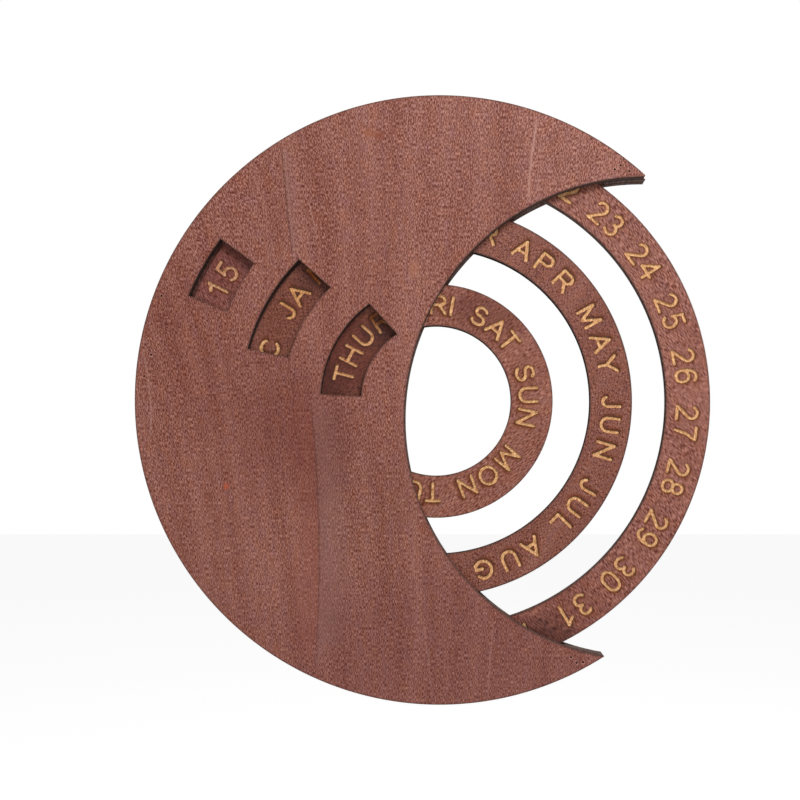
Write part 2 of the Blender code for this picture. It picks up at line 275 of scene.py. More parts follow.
def node(tree, kind, inputs=None, output=0, **settings):
    """A node of a material, its inputs set or joined by number or name. Gives one output."""
    made = tree.nodes.new("ShaderNode" + kind)
    for key, value in settings.items():
        setattr(made, key, value)
    for key, value in (inputs or {}).items():
        if isinstance(value, bpy.types.NodeSocket):
            tree.links.new(value, made.inputs[key])
        else:
            made.inputs[key].default_value = value
    return made.outputs[output]


def calc(tree, operation, *values):
    return node(tree, "Math", dict(enumerate(values)), operation=operation)


def product(tree, *factors):
    total = factors[0]
    for factor in factors[1:]:
        total = calc(tree, "MULTIPLY", total, factor)
    return total


def fade(tree, value, start, end, at_start, at_end):
    """The value eased from one level to another between two places, and level outside them."""
    return node(tree, "MapRange", {0: value, 1: start, 2: end, 3: at_start, 4: at_end},
                interpolation_type="SMOOTHSTEP")


def mix(tree, share, first, second, blend_type="MIX"):
    return node(tree, "Mix", {0: share, 6: first, 7: second}, 2, data_type="RGBA",
                blend_type=blend_type)


def noise(tree, place, detail=2.0, roughness=0.5):
    return node(tree, "TexNoise", {"Vector": place, "Scale": 1.0, "Detail": detail,
                                   "Roughness": roughness})


def face_millimetres(tree, turn=0.0):
    """Object coordinates about the case's centre, in millimetres, turned with the grain."""
    place = node(tree, "TexCoord", output=3)
    place = node(tree, "VectorMath", {0: place, 1: (CASE_X, 0.0, CASE_Z)}, operation="SUBTRACT")
    place = node(tree, "Mapping", {"Vector": place, "Rotation": (0.0, math.radians(turn), 0.0),
                                   "Scale": (1000.0, 1000.0, 1000.0)})
    split = tree.nodes.new("ShaderNodeSeparateXYZ")
    tree.links.new(place, split.inputs[0])
    return split.outputs[0], split.outputs[1], split.outputs[2]


def grain(tree, across, along, width, length, seed, detail=2.0, roughness=0.5):
    """Noise drawn out along the grain, its cells about that many millimetres wide and long."""
    place = node(tree, "CombineXYZ", {0: calc(tree, "DIVIDE", across, width), 1: seed,
                                      2: calc(tree, "DIVIDE", along, length)})
    return noise(tree, place, detail, roughness)


def new_material(name):
    material = bpy.data.materials.new(name)
    material.use_nodes = True
    return material, material.node_tree, material.node_tree.nodes["Principled BSDF"]


def stained_veneer(name, dark, middle, light, turn, fibre, gain, seed, fan=0.0, details=None):
    """Rotary-cut face veneer under stain: broad figure, streaks, fine flecks and open pores.

    The grain runs up the piece, turned by an angle and fanned out upwards by a share per mm. Its
    fibres show as flecks of a length in mm, stronger with the gain. The stain's hue drifts from
    olive to purple over a few millimetres.
    """
    material, tree, shader = new_material(name)
    across, _, along = face_millimetres(tree, turn)
    spread = calc(tree, "MULTIPLY_ADD", along, -fan, 1.0)
    fanned = product(tree, across, spread)
    sway = grain(tree, across, along, 60.0, 130.0, seed, 1.0)
    fine_sway = grain(tree, across, along, 7.0, 18.0, seed + 3.0, 1.0)
    fanned = calc(tree, "ADD", fanned, product(tree, sway, 16.0))
    fanned = calc(tree, "ADD", fanned, product(tree, fine_sway, 1.6))
    figure = grain(tree, fanned, along, 9.0, 110.0, seed + 11.0, 2.0)
    streaks = grain(tree, fanned, along, 0.8, 9.0, seed + 17.0, 2.0, 0.6)
    flecks = grain(tree, fanned, along, 0.29, fibre, seed + 23.0, 1.0, 0.6)
    pores = grain(tree, fanned, along, 0.30, 1.1, seed + 29.0, 1.0)
    tone = 0.5
    for layer, share in ((figure, 0.50), (streaks, 0.60), (flecks, gain)):
        tone = calc(tree, "MULTIPLY_ADD", calc(tree, "SUBTRACT", layer, 0.5), share, tone)
    colour = mix(tree, fade(tree, tone, 0.10, 0.5, 0.0, 1.0), (*dark, 1.0), (*middle, 1.0))
    colour = mix(tree, fade(tree, tone, 0.48, 0.90, 0.0, 1.0), colour, (*light, 1.0))
    pore_share = fade(tree, pores, 0.62, 0.76, 0.0, 0.50)
    colour = mix(tree, pore_share, colour, (*(part * 0.7 for part in dark), 1.0))
    warmth = grain(tree, fanned, along, 3.0, 7.0, seed + 37.0, 2.0)
    colour = mix(tree, fade(tree, warmth, 0.50, 0.70, 0.0, 0.6), colour, (1.07, 0.98, 0.78, 1.0),
                 "MULTIPLY")
    colour = mix(tree, fade(tree, warmth, 0.30, 0.50, 0.6, 0.0), colour, (0.90, 0.95, 1.14, 1.0),
                 "MULTIPLY")
    if details:
        colour = details(tree, colour, across, along)
    tone_at = node(tree, "Attribute", output=2, attribute_name="edge_tone")
    mottle = grain(tree, across, along, 0.9, 0.9, seed + 31.0, 2.0)
    smoke = node(tree, "Attribute", output=2, attribute_name="smoke")
    smoke = product(tree, smoke, fade(tree, mottle, 0.25, 0.75, 0.6, 1.2))
    colour = mix(tree, smoke, colour, (0.64, 0.36, 0.04, 1.0), "MULTIPLY")
    scorch = product(tree, calc(tree, "MAXIMUM", tone_at, 0.0), mottle)
    colour = mix(tree, product(tree, scorch, 1.3), colour, (0.040, 0.015, 0.009, 1.0))
    bruise = product(tree, calc(tree, "MAXIMUM", product(tree, tone_at, -1.0), 0.0), 0.6)
    colour = mix(tree, bruise, colour, (0.46, 0.21, 0.165, 1.0))
    tree.links.new(colour, shader.inputs["Base Color"])
    rough = fade(tree, streaks, 0.25, 0.75, 0.60, 0.74)
    tree.links.new(rough, shader.inputs["Roughness"])
    shader.inputs["Specular IOR Level"].default_value = 0.25
    height = calc(tree, "MULTIPLY_ADD", flecks, 0.6, product(tree, streaks, 0.4))
    height = calc(tree, "SUBTRACT", height, product(tree, pore_share, 0.5))
    normal = node(tree, "Bump", {"Height": height, "Strength": 0.35, "Distance": 0.00006})
    tree.links.new(normal, shader.inputs["Normal"])
    return material


def scorched_edge(name, front, back):
    """A laser-cut edge of three plies: brown char with upright burn lines and darker glue lines."""
    material, tree, shader = new_material(name)
    right, depth, up = face_millimetres(tree)
    share = calc(tree, "DIVIDE", calc(tree, "SUBTRACT", depth, front), back - front)
    from_middle = calc(tree, "ABSOLUTE", calc(tree, "SUBTRACT", share, 0.5))
    place = node(tree, "CombineXYZ", {0: calc(tree, "DIVIDE", right, 0.35),
                                      1: calc(tree, "DIVIDE", depth, 9.0),
                                      2: calc(tree, "DIVIDE", up, 0.35)})
    burn_lines = noise(tree, place, 3.0, 0.6)
    fibres = noise(tree, node(tree, "CombineXYZ", {0: calc(tree, "DIVIDE", right, 1.1),
                                                   1: calc(tree, "DIVIDE", depth, 0.16),
                                                   2: calc(tree, "DIVIDE", up, 1.1)}), 2.0)
    ply = fade(tree, from_middle, 0.13, 0.20, 1.0, 0.0)
    colour = mix(tree, ply, (0.150, 0.096, 0.082, 1.0), (0.230, 0.168, 0.148, 1.0))
    glue = calc(tree, "ABSOLUTE", calc(tree, "SUBTRACT", from_middle, 0.17))
    colour = mix(tree, fade(tree, glue, 0.0, 0.03, 0.6, 0.0), colour, (0.022, 0.014, 0.011, 1.0))
    colour = mix(tree, fade(tree, burn_lines, 0.38, 0.72, 0.0, 0.75), colour,
                 (0.020, 0.012, 0.009, 1.0))
    colour = mix(tree, fade(tree, fibres, 0.60, 0.75, 0.0, 0.55), colour,
                 (0.28, 0.20, 0.155, 1.0))
    rims = fade(tree, from_middle, 0.40, 0.50, 0.0, 0.75)
    colour = mix(tree, rims, colour, (0.018, 0.009, 0.007, 1.0))
    char = node(tree, "Attribute", output=2, attribute_name="edge_tone")
    colour = mix(tree, calc(tree, "MULTIPLY_ADD", char, 0.85, -0.85), colour,
                 (0.012, 0.007, 0.006, 1.0))
    tree.links.new(colour, shader.inputs["Base Color"])
    shader.inputs["Roughness"].default_value = 0.9
    shader.inputs["Specular IOR Level"].default_value = 0.0
    normal = node(tree, "Bump", {"Height": burn_lines, "Strength": 0.4, "Distance": 0.0001})
    tree.links.new(normal, shader.inputs["Normal"])
    return material


def grain_line(tree, across, along, points, width):
    """A growth line, as the parabola through its places (across, along). Gives a mask that is 1
    on the line, the distance off it to the right in mm, and a mask of its length.
    """
    points = np.array(points)
    bend, slope, start = np.polyfit(points[:, 1], points[:, 0], 2)
    line = calc(tree, "MULTIPLY_ADD", calc(tree, "MULTIPLY_ADD", along, bend, slope), along, start)
    wobble = calc(tree, "MULTIPLY_ADD", grain(tree, across, along, 9.0, 4.0, 2.0), 1.0, -0.5)
    off = calc(tree, "ADD", calc(tree, "SUBTRACT", across, line), wobble)
    middle = (points[:, 1].max() + points[:, 1].min()) / 2
    half = (points[:, 1].max() - points[:, 1].min()) / 2
    from_middle = calc(tree, "ABSOLUTE", calc(tree, "SUBTRACT", along, middle))
    within = fade(tree, from_middle, half * 0.75, half * 1.1, 1.0, 0.0)
    near = fade(tree, calc(tree, "ABSOLUTE", off), 0.0, width, 1.0, 0.0)
    return product(tree, near, within), off, within


def spot(tree, across, along, centre, radii, seed):
    """A mask that is 1 in the middle of an uneven oval and fades to 0 at its edge."""
    right = calc(tree, "DIVIDE", calc(tree, "SUBTRACT", across, centre[0]), radii[0])
    up = calc(tree, "DIVIDE", calc(tree, "SUBTRACT", along, centre[1]), radii[1])
    away = calc(tree, "SQRT", calc(tree, "ADD", product(tree, right, right), product(tree, up, up)))
    uneven = grain(tree, across, along, radii[0] * 0.7, radii[1] * 0.7, seed, 2.0)
    away = calc(tree, "ADD", away, calc(tree, "MULTIPLY_ADD", uneven, 1.2, -0.6))
    return fade(tree, away, 0.2, 1.0, 1.0, 0.0)


def front_figure(tree, colour, across, along):
    """What singles out this sheet: growth lines with a change of tone at them, broad darker
    parts, and small knots. The broad dark part across the bottom is painted shade, darker towards
    the bottom.
    """
    line, off, within = grain_line(tree, across, along, (
        (-52.3, 3.0), (-49.5, -26.7), (-48.3, -49.7), (-49.1, -78.2), (-49.5, -105.6)), 0.6)
    right = product(tree, fade(tree, off, 0.0, 1.0, 0.0, 1.0), fade(tree, off, 3.0, 16.0, 1.0, 0.0))
    colour = mix(tree, product(tree, right, within, 0.35), colour, (0.235, 0.120, 0.105, 1.0))
    left = fade(tree, off, -14.0, -0.5, 0.0, 0.30)
    left = product(tree, left, fade(tree, off, -0.4, 0.0, 1.0, 0.0), within)
    colour = mix(tree, left, colour, (0.235, 0.062, 0.042, 1.0))
    colour = mix(tree, product(tree, line, 0.45), colour, (0.075, 0.032, 0.028, 1.0))
    line, off, within = grain_line(tree, across, along, (
        (-63.6, 102.4), (-62.4, 88.5), (-60.9, 73.0), (-59.2, 56.9)), 0.4)
    right = product(tree, fade(tree, off, 0.0, 1.0, 0.0, 1.0), fade(tree, off, 1.0, 5.0, 1.0, 0.0))
    colour = mix(tree, product(tree, right, within, 0.30), colour, (0.150, 0.075, 0.066, 1.0))
    colour = mix(tree, product(tree, line, 0.85), colour, (0.060, 0.024, 0.020, 1.0))
    pale = (0.40, 0.215, 0.175, 1.0)
    for points, width, share in (
            (((39.2, 112.8), (37.6, 101.6), (36.2, 90.0), (35.6, 80.3)), 0.8, 0.55),
            (((-62.4, 102.4), (-61.2, 88.5), (-59.7, 73.0), (-58.0, 56.9)), 0.45, 0.22),
            (((-53.0, 81.0), (-51.0, 73.0), (-49.3, 65.0)), 0.4, 0.45),
            (((-119.1, 19.9), (-116.3, 1.8), (-116.3, -16.3)), 0.6, 0.35),
            (((21.7, -87.5), (20.4, -104.0), (19.3, -120.1)), 0.6, 0.30),
            (((-6.3, -88.3), (-4.6, -104.0), (-3.0, -120.9)), 0.6, 0.25)):
        line, _, _ = grain_line(tree, across, along, points, width)
        colour = mix(tree, product(tree, line, share), colour, pale)
    # The second patch, broad across the bottom, is painted shade: the sheet darker towards the
    # bottom.
    for centre, radii, factor in (
            ((-62.0, -8.0), (38.0, 50.0), (0.76, 0.65, 0.63, 1.0)),
            ((0.0, -98.0), (120.0, 56.0), (0.85, 0.80, 0.82, 1.0)),
            ((-100.0, 22.0), (22.0, 40.0), (0.92, 0.86, 0.84, 1.0)),
            ((-30.0, -40.0), (40.0, 40.0), (0.92, 0.92, 0.90, 1.0))):
        inside = spot(tree, across, along, centre, radii, abs(centre[0]))
        colour = mix(tree, inside, colour, factor, "MULTIPLY")
    for centre, radii, knot_colour, share in (
            ((-28.6, 107.0), (3.6, 2.6), (0.225, 0.068, 0.026, 1.0), 0.65),
            ((-24.2, 106.4), (2.6, 3.6), (0.175, 0.040, 0.018, 1.0), 0.75),
            ((-10.1, 52.1), (4.0, 5.0), (0.32, 0.125, 0.065, 1.0), 0.45),
            ((-85.7, -34.8), (2.0, 1.8), (0.36, 0.070, 0.030, 1.0), 0.80),
            ((-20.2, 62.2), (0.9, 0.9), (0.060, 0.026, 0.022, 1.0), 0.80)):
        inside = spot(tree, across, along, centre, radii, abs(centre[0]))
        colour = mix(tree, product(tree, inside, share), colour, knot_colour)
    return colour


def rim_place(share, angle):
    """A place in the rim, by its share of the rim's width and its angle about the case."""
    radius = RIM_INNER_RADIUS + share * RIM_WIDTH
    turn = math.radians(angle)
    return radius * np.array([math.cos(turn), math.sin(turn)])


brad_places = {}
for tip, side, shares, inward in (("upper_tip", 1, (0.73, 0.70, 0.46), (3.5, 7.3, 5.3)),
                                  ("lower_tip", -1, (0.79, 0.70, 0.44), (5.9, 7.2, 5.0))):
    for number, (share, distance) in enumerate(zip(shares, inward), start=1):
        radius = RIM_INNER_RADIUS + share * RIM_WIDTH
        angle = meeting_angle(radius, side) + side * math.degrees(distance / radius)
        brad_places[f"brad_{tip}_{number}"] = rim_place(share, angle)
for number, (angle, share) in enumerate(((159.5, 0.72), (171.1, 0.55), (175.4, 0.70)), start=1):
    brad_places[f"brad_left_rim_{number}"] = rim_place(share, angle)

window_loops = [closed_loop(arc((0.0, 0.0), outer, *outer_angles[::-1]),
                            arc((0.0, 0.0), inner, *inner_angles))
                for inner, outer, outer_angles, inner_angles in WINDOWS]
brad_holes = [hole(place, BRAD_HOLE_RADIUS) for place in brad_places.values()]
panel_veneer = stained_veneer("panel_veneer", (0.080, 0.010, 0.002), (0.188, 0.061, 0.043),
                              (0.355, 0.164, 0.130), turn=0.0, fibre=1.2, gain=2.7, seed=5.0,
                              fan=1 / 450.0, details=front_figure)
front_edge = scorched_edge("front_panel_edge", FRONT_FACE, FRONT_PANEL_BACK)
front_loops = [crescent(0.0, CASE_RADIUS, UPPER_TIP_TRIM)] + window_loops + brad_holes
front_tones = [1.0] + [1.0] * len(window_loops) + [-1.0] * len(brad_holes)
# The windows' walls are the darkest: partly deeper char, partly painted shade of their deep cut.
front_chars = [1.4] + [1.9] * len(window_loops) + [1.5] * len(brad_holes)
front_panel = board("front_panel_board", front_loops, FRONT_FACE, FRONT_PANEL_BACK,
                    (panel_veneer, front_edge), front_tones, front_chars)
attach(front_panel, "case")
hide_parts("front_panel")


# Back panel: the same crescent of 3 mm three-ply without windows, glued to the middle layer and
# flat on the wall. The round hole near its top takes a nail.
back_low, back_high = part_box("back_panel")
BACK_FACE = 1000.0 * back_high.y
BACK_PANEL_FRONT = 1000.0 * back_low.y
HANGING_HOLE_RADIUS = 2.5
hanging_place = 1000.0 * np.array([-CASE_X, -CASE_Z])
hanging_loop = hole(hanging_place, HANGING_HOLE_RADIUS, 48)
back_veneer = stained_veneer("back_veneer", (0.080, 0.024, 0.018), (0.170, 0.058, 0.044),
                             (0.320, 0.140, 0.108), turn=1.5, fibre=2.6, gain=2.4, seed=71.0,
                             fan=-1 / 900.0)
back_edge = scorched_edge("back_panel_edge", BACK_PANEL_FRONT, BACK_FACE)
back_panel = board("back_panel_board", [crescent(0.0, CASE_RADIUS), hanging_loop],
                   BACK_PANEL_FRONT, BACK_FACE, (back_veneer, back_edge))
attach(back_panel, "case")
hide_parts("back_panel")


# Middle layer: a rim, two guides and a hub cut from the same 3 mm three-ply and glued between the
# panels. The rings run in the tracks that they leave, and their cut ends show along the bite.
spacer_low, spacer_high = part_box("rim_spacer")
SPACER_FRONT = 1000.0 * spacer_low.y
SPACER_BACK = 1000.0 * spacer_high.y
spacer_veneer = stained_veneer("spacer_veneer", (0.080, 0.032, 0.026), (0.150, 0.062, 0.049),
                               (0.240, 0.115, 0.088), turn=-3.0, fibre=2.6, gain=2.4,
                               seed=113.0)
spacer_edge = scorched_edge("spacer_edge", SPACER_FRONT, SPACER_BACK)
for spacer_name, inner, outer, holes in (
        ("rim_spacer", RIM_INNER_RADIUS, CASE_RADIUS, [hanging_loop] + brad_holes),
        ("outer_guide", 81.1, 89.7, []),
        ("inner_guide", 49.4, 60.0, []),
        ("hub_spacer", 0.0, 28.4, [])):
    spacer = board(spacer_name + "_board", [crescent(inner, outer)] + holes,
                   SPACER_FRONT, SPACER_BACK, (spacer_veneer, spacer_edge))
    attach(spacer, "case")
    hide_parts(spacer_name)


# Date ring: a flat ring of 3 mm three-ply, loose in its track, with 1 to 31 engraved by laser.
# The engraving burns the stain away and leaves a golden floor with scorched sides.
ring_low, ring_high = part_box("date_ring")
RING_FRONT = 1000.0 * ring_low.y
RING_BACK = 1000.0 * ring_high.y
ENGRAVING_DEPTH = 0.45
STROKE_WIDTH = 1.42
HALO = 1.15
BURNT_LINE = 0.5
# How far each mark lies off the strokes, as a share of the way that the smoke was blown
STAIN_SHARE = 1.0
LINE_SHARE = 0.35
FLOOR_SHARE = -0.25


def bow(centre, radii, start, end, count=13):
    """Points of an oval's edge between two angles in degrees."""
    turn = np.radians(np.linspace(start, end, count))
    return np.stack([centre[0] + radii[0] * np.cos(turn), centre[1] + radii[1] * np.sin(turn)], 1)


def stroke(*runs):
    return np.concatenate([np.atleast_2d(run) for run in runs])


def oval(centre, radii, count=13):
    """An oval as two strokes, its left half and its right half."""
    return [bow(centre, radii, 90, 270, count), bow(centre, radii, -90, 90, count)]


# Each letter is its width and its strokes' middle lines, in a box one letter height tall
GLYPHS = {
    "A": (0.91, [stroke((0, 0), (0.455, 1)), stroke((0.455, 1), (0.91, 0)),
                 stroke((0.16, 0.34), (0.75, 0.34))]),
    "B": (0.73, [stroke((0, 0), (0, 1)), stroke((0, 1), bow((0.42, 0.765), (0.24, 0.235), 90, -90),
                                                (0, 0.53)),
                 stroke((0, 0.53), bow((0.44, 0.265), (0.29, 0.265), 90, -90), (0, 0))]),
    "C": (0.84, [bow((0.46, 0.5), (0.46, 0.5), 40, 320, 25)]),
    "D": (0.82, [stroke((0, 0), (0, 1)),
                 stroke((0, 1), bow((0.36, 0.5), (0.46, 0.5), 90, -90, 17), (0, 0))]),
    "E": (0.70, [stroke((0.70, 1), (0, 1), (0, 0), (0.70, 0)), stroke((0, 0.53), (0.64, 0.53))]),
    "F": (0.64, [stroke((0.64, 1), (0, 1), (0, 0)), stroke((0, 0.53), (0.56, 0.53))]),
    "G": (0.92, [bow((0.47, 0.5), (0.47, 0.5), 42, 322, 25),
                 stroke((0.88, 0.18), (0.88, 0.44), (0.52, 0.44))]),
    "H": (0.81, [stroke((0, 0), (0, 1)), stroke((0.81, 0), (0.81, 1)),
                 stroke((0, 0.54), (0.81, 0.54))]),
    "I": (0.0, [stroke((0, 0), (0, 1))]),
    "J": (0.54, [stroke((0.54, 1), bow((0.27, 0.27), (0.27, 0.27), 0, -165))]),
    "L": (0.60, [stroke((0, 1), (0, 0), (0.60, 0))]),
    "M": (0.98, [stroke((0, 0), (0, 1)), stroke((0, 1), (0.49, 0.02)),
                 stroke((0.49, 0.02), (0.98, 1)), stroke((0.98, 1), (0.98, 0))]),
    "N": (0.81, [stroke((0, 0), (0, 1)), stroke((0, 1), (0.81, 0)),
                 stroke((0.81, 0), (0.81, 1))]),
    "O": (0.96, oval((0.48, 0.5), (0.48, 0.5), 17)),
    "P": (0.74, [stroke((0, 0), (0, 1)),
                 stroke((0, 1), bow((0.48, 0.735), (0.26, 0.265), 90, -90), (0, 0.47))]),
    "R": (0.82, [stroke((0, 0), (0, 1)),
                 stroke((0, 1), bow((0.50, 0.745), (0.27, 0.255), 90, -90), (0, 0.49)),
                 stroke((0.44, 0.49), (0.82, 0))]),
    "S": (0.72, [stroke(bow((0.36, 0.76), (0.31, 0.24), 20, 250),
                        bow((0.36, 0.26), (0.36, 0.26), 70, -160))]),
    "T": (0.75, [stroke((0, 1), (0.75, 1)), stroke((0.375, 1), (0.375, 0))]),
    "U": (0.79, [stroke((0, 1), bow((0.395, 0.37), (0.395, 0.37), 180, 360, 15), (0.79, 1))]),
    "V": (0.90, [stroke((0, 1), (0.45, 0)), stroke((0.45, 0), (0.90, 1))]),
    "W": (1.34, [stroke((0, 1), (0.34, 0)), stroke((0.34, 0), (0.67, 0.98)),
                 stroke((0.67, 0.98), (1.0, 0)), stroke((1.0, 0), (1.34, 1))]),
    "Y": (0.88, [stroke((0, 1), (0.44, 0.46)), stroke((0.88, 1), (0.44, 0.46)),
                 stroke((0.44, 0.46), (0.44, 0))]),
    "0": (0.61, [stroke(bow((0.305, 0.68), (0.305, 0.32), 90, 180, 9),
                        bow((0.305, 0.32), (0.305, 0.32), 180, 270, 9)),
                 stroke(bow((0.305, 0.32), (0.305, 0.32), -90, 0, 9),
                        bow((0.305, 0.68), (0.305, 0.32), 0, 90, 9))]),
    "1": (0.57, [stroke((0.05, 0.75), (0.21, 0.83), (0.36, 1)), stroke((0.36, 1), (0.36, 0))]),
    "2": (0.62, [stroke(bow((0.31, 0.73), (0.28, 0.27), 155, -38), (0.02, 0.03)),
                 stroke((0, 0), (0.62, 0))]),
    "3": (0.54, [bow((0.25, 0.755), (0.25, 0.245), 145, -80),
                 bow((0.25, 0.265), (0.29, 0.265), 85, -145)]),
    "4": (0.69, [stroke((0.49, 0), (0.49, 1)), stroke((0.49, 1), (0, 0.31)),
                 stroke((0, 0.31), (0.69, 0.31))]),
    "5": (0.54, [stroke((0.50, 1), (0.10, 1), (0.05, 0.52)),
                 bow((0.25, 0.315), (0.29, 0.315), 130, -145, 17)]),
    "6": (0.56, oval((0.28, 0.32), (0.28, 0.32)) + [bow((0.33, 0.5), (0.33, 0.5), 52, 190)]),
    "7": (0.58, [stroke((0, 1), (0.58, 1)), stroke((0.58, 1), (0.34, 0.52), (0.22, 0))]),
    "8": (0.57, oval((0.285, 0.755), (0.235, 0.245)) + oval((0.285, 0.26), (0.285, 0.26))),
    "9": (0.56, oval((0.28, 0.68), (0.28, 0.32)) + [bow((0.23, 0.5), (0.33, 0.5), -128, 10)]),
}


def strip(path, width, reach):
    """A stroke's outline: its path moved half a width to each side with mitred bends, and its
    square ends set on by the reach.
    """
    path = np.array(path, float)
    ahead = np.diff(path, axis=0)
    ahead /= np.linalg.norm(ahead, axis=1)[:, None]
    path[0] -= ahead[0] * reach
    path[-1] += ahead[-1] * reach
    left = np.stack([-ahead[:, 1], ahead[:, 0]], axis=1)
    before = np.concatenate([left[:1], left])
    after = np.concatenate([left, left[-1:]])
    mitre = (before + after) / (1.0 + (before * after).sum(axis=1))[:, None] * width / 2
    return np.concatenate([path - mitre, (path + mitre)[::-1]])


def roughened(outline, step, amount, chance):
    """The outline with points set along its edges at a step, each moved a little at random."""
    ahead = np.roll(outline, -1, axis=0) - outline
    count = np.maximum(1, np.round(np.linalg.norm(ahead, axis=1) / step)).astype(int)
    edge = np.repeat(np.arange(len(outline)), count)
    share = (np.arange(len(edge)) - np.repeat(np.cumsum(count) - count, count)) / count[edge]
    points = outline[edge] + ahead[edge] * share[:, None]
    return points + chance.normal(0.0, amount, points.shape)


def distance_to(points, paths):
    """Each point's distance to the nearest of the paths' straight pieces."""
    starts = np.concatenate([path[:-1] for path in paths])
    along = np.concatenate([np.diff(path, axis=0) for path in paths])
    away = points[:, None, :] - starts[None, :, :]
    share = np.clip((away * along).sum(axis=2) / (along**2).sum(axis=1), 0.0, 1.0)
    return np.linalg.norm(away - share[:, :, None] * along, axis=2).min(axis=1)


def engraved(letters, centre, radius, height, smoke, strength, burn, seed):
    """The engraving of letters given with their angles: each stands upright on the ring, its top
    outwards, and is moved to its place without being bent. A burnt line and the smoke stain lie
    off the strokes, towards the side to which the air blew the smoke as the laser cut.
    """
    chance = np.random.default_rng(seed)
    size = height - STROKE_WIDTH
    placed = []
    for letter, angle in letters:
        width, paths = GLYPHS[letter]
        turn = math.radians(angle)
        outward = np.array([math.cos(turn), math.sin(turn)])
        clockwise = np.array([math.sin(turn), -math.cos(turn)])
        glyph = []
        for path in paths:
            right = (path[:, :1] - width / 2) * size
            up = (path[:, 1:] - 0.5) * size + radius
            glyph.append(np.asarray(centre) + up * outward + right * clockwise)
        placed.append(glyph)
    strokes = []
    lines = []
    smoke = np.asarray(smoke)
    for glyph in placed:
        for path in glyph:
            cut = strip(path, STROKE_WIDTH, STROKE_WIDTH / 2)
            strokes.append(roughened(cut, 0.45, 0.03, chance))
            for shift, reach in ((STAIN_SHARE, 0.0), (STAIN_SHARE, HALO / 2), (STAIN_SHARE, HALO),
                                 (LINE_SHARE, 0.0), (LINE_SHARE, BURNT_LINE)):
                stain = strip(path + shift * smoke, STROKE_WIDTH + 2 * reach,
                              STROKE_WIDTH / 2 + reach)
                lines.append((roughened(stain, 0.8, 0.02, chance), True))
            lines.append((path, False))

    def tones_at(points):
        """The burnt line and the smoke on the face, and the floor's burn from middle to side."""
        away = np.full((3, len(points)), STROKE_WIDTH + HALO)
        for glyph in placed:
            middle = np.concatenate(glyph).mean(axis=0)
            near = np.flatnonzero(np.abs(points - middle).max(axis=1) < height + HALO)
            for row, shift in enumerate((LINE_SHARE, STAIN_SHARE, FLOOR_SHARE)):
                seen = distance_to(points[near] - shift * smoke, glyph)
                away[row, near] = np.minimum(away[row, near], seen)
        line = np.clip(1.0 - (away[0] - STROKE_WIDTH / 2) / BURNT_LINE, 0.0, 1.0)
        stain = np.clip(1.0 - (away[1] - STROKE_WIDTH / 2) / HALO, 0.0, 1.0)**1.3
        floor = np.clip(away[2] * 2 / STROKE_WIDTH, 0.0, 1.3)
        return burn * line, strength * stain + 0.7 * line, floor

    return strokes, lines, tones_at, ENGRAVING_DEPTH


def tinted(colour, tree, patches):
    """The colour multiplied by another within soft patches given by place and radii in the face."""
    right, _, up = face_millimetres(tree)
    for place, radii, factor in patches:
        inside = spot(tree, right, up, place, radii, abs(place[0]))
        colour = mix(tree, inside, colour, (*factor, 1.0), "MULTIPLY")
    return colour


def engraved_wood(name, turn, patches):
    """Bare wood where the laser took the stain off: golden tan with dark fibres along the grain,
    and browned by the beam at its sides. The patches darken it further: painted shade where a
    window shades the letters.
    """
    material, tree, shader = new_material(name)
    right, depth, up = face_millimetres(tree, turn)
    fibres = grain(tree, right, up, 0.30, 1.6, 7.0, 1.0)
    blotches = grain(tree, right, up, 0.9, 1.4, 19.0, 2.0)
    colour = mix(tree, fade(tree, blotches, 0.3, 0.7, 0.0, 1.0), (0.52, 0.260, 0.105, 1.0),
                 (0.78, 0.480, 0.240, 1.0))
    colour = mix(tree, fade(tree, fibres, 0.44, 0.64, 0.0, 0.8), colour, (0.25, 0.090, 0.030, 1.0))
    tone_at = node(tree, "Attribute", output=2, attribute_name="edge_tone")
    char = fade(tree, tone_at, 0.78, 1.05, 0.0, 0.95)
    colour = mix(tree, char, colour, (0.075, 0.024, 0.005, 1.0))
    colour = tinted(colour, tree, patches)
    tree.links.new(colour, shader.inputs["Base Color"])
    shader.inputs["Roughness"].default_value = 0.8
    shader.inputs["Specular IOR Level"].default_value = 0.2
    normal = node(tree, "Bump", {"Height": fibres, "Strength": 0.4, "Distance": 0.0001})
    tree.links.new(normal, shader.inputs["Normal"])
    return material


def number_letters(places):
    """The digits of numbers given with their middle angles, all digits one even step apart."""
    letters = []
    for number, angle in places:
        digits = str(number)
        for place, digit in enumerate(digits):
            letters.append((digit, angle + DIGIT_STEP * ((len(digits) - 1) / 2 - place)))
    return letters


def ring_circle(node_name):
    """The centre and outer radius of a ring's solid, in face millimetres."""
    low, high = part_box(node_name)
    right = 500.0 * (low.x + high.x) - 1000.0 * CASE_X
    up = 500.0 * (low.z + high.z) - 1000.0 * CASE_Z
    return (right, up), 500.0 * min(high.x - low.x, high.z - low.z)


def ring(name, node_name, body, engraving, veneer, width, turn, off, scorch, char, patches):
    """A loose ring with its engraving, on its own body, in place of its solid. Its hole is cut
    off centre by a little, its outer edge and its hole's are scorched and charred as far as
    given, and its letters are darkened in patches of painted shade where its window shades them.
    """
    centre, radius = ring_circle(node_name)
    inner = np.array(centre) + off
    loops = [arc(centre, radius, 0.0, 360.0)[:-1], hole(inner, radius - width, 480)]
    bare = engraved_wood(name + "_engraving", turn, patches)
    piece = board(name, loops, RING_FRONT, RING_BACK, (veneer, ring_edge, bare), scorch, char,
                  engraving)
    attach(piece, body)
    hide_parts(node_name)


def date_figure(tree, colour, across, along):
    """Partly the wood's own tone, partly painted shade: the veneer darker where the date shows in
    its window, and a painted shadow of the front panel by the lower tip.
    """
    return tinted(colour, tree, (((-89.0, 50.0), (26.0, 26.0), (0.68, 0.52, 0.57)),
                                 ((52.0, -92.0), (44.0, 34.0), (0.84, 0.76, 0.74)),
                                 ((45.0, -94.0), (15.0, 11.0), (0.50, 0.42, 0.40))))


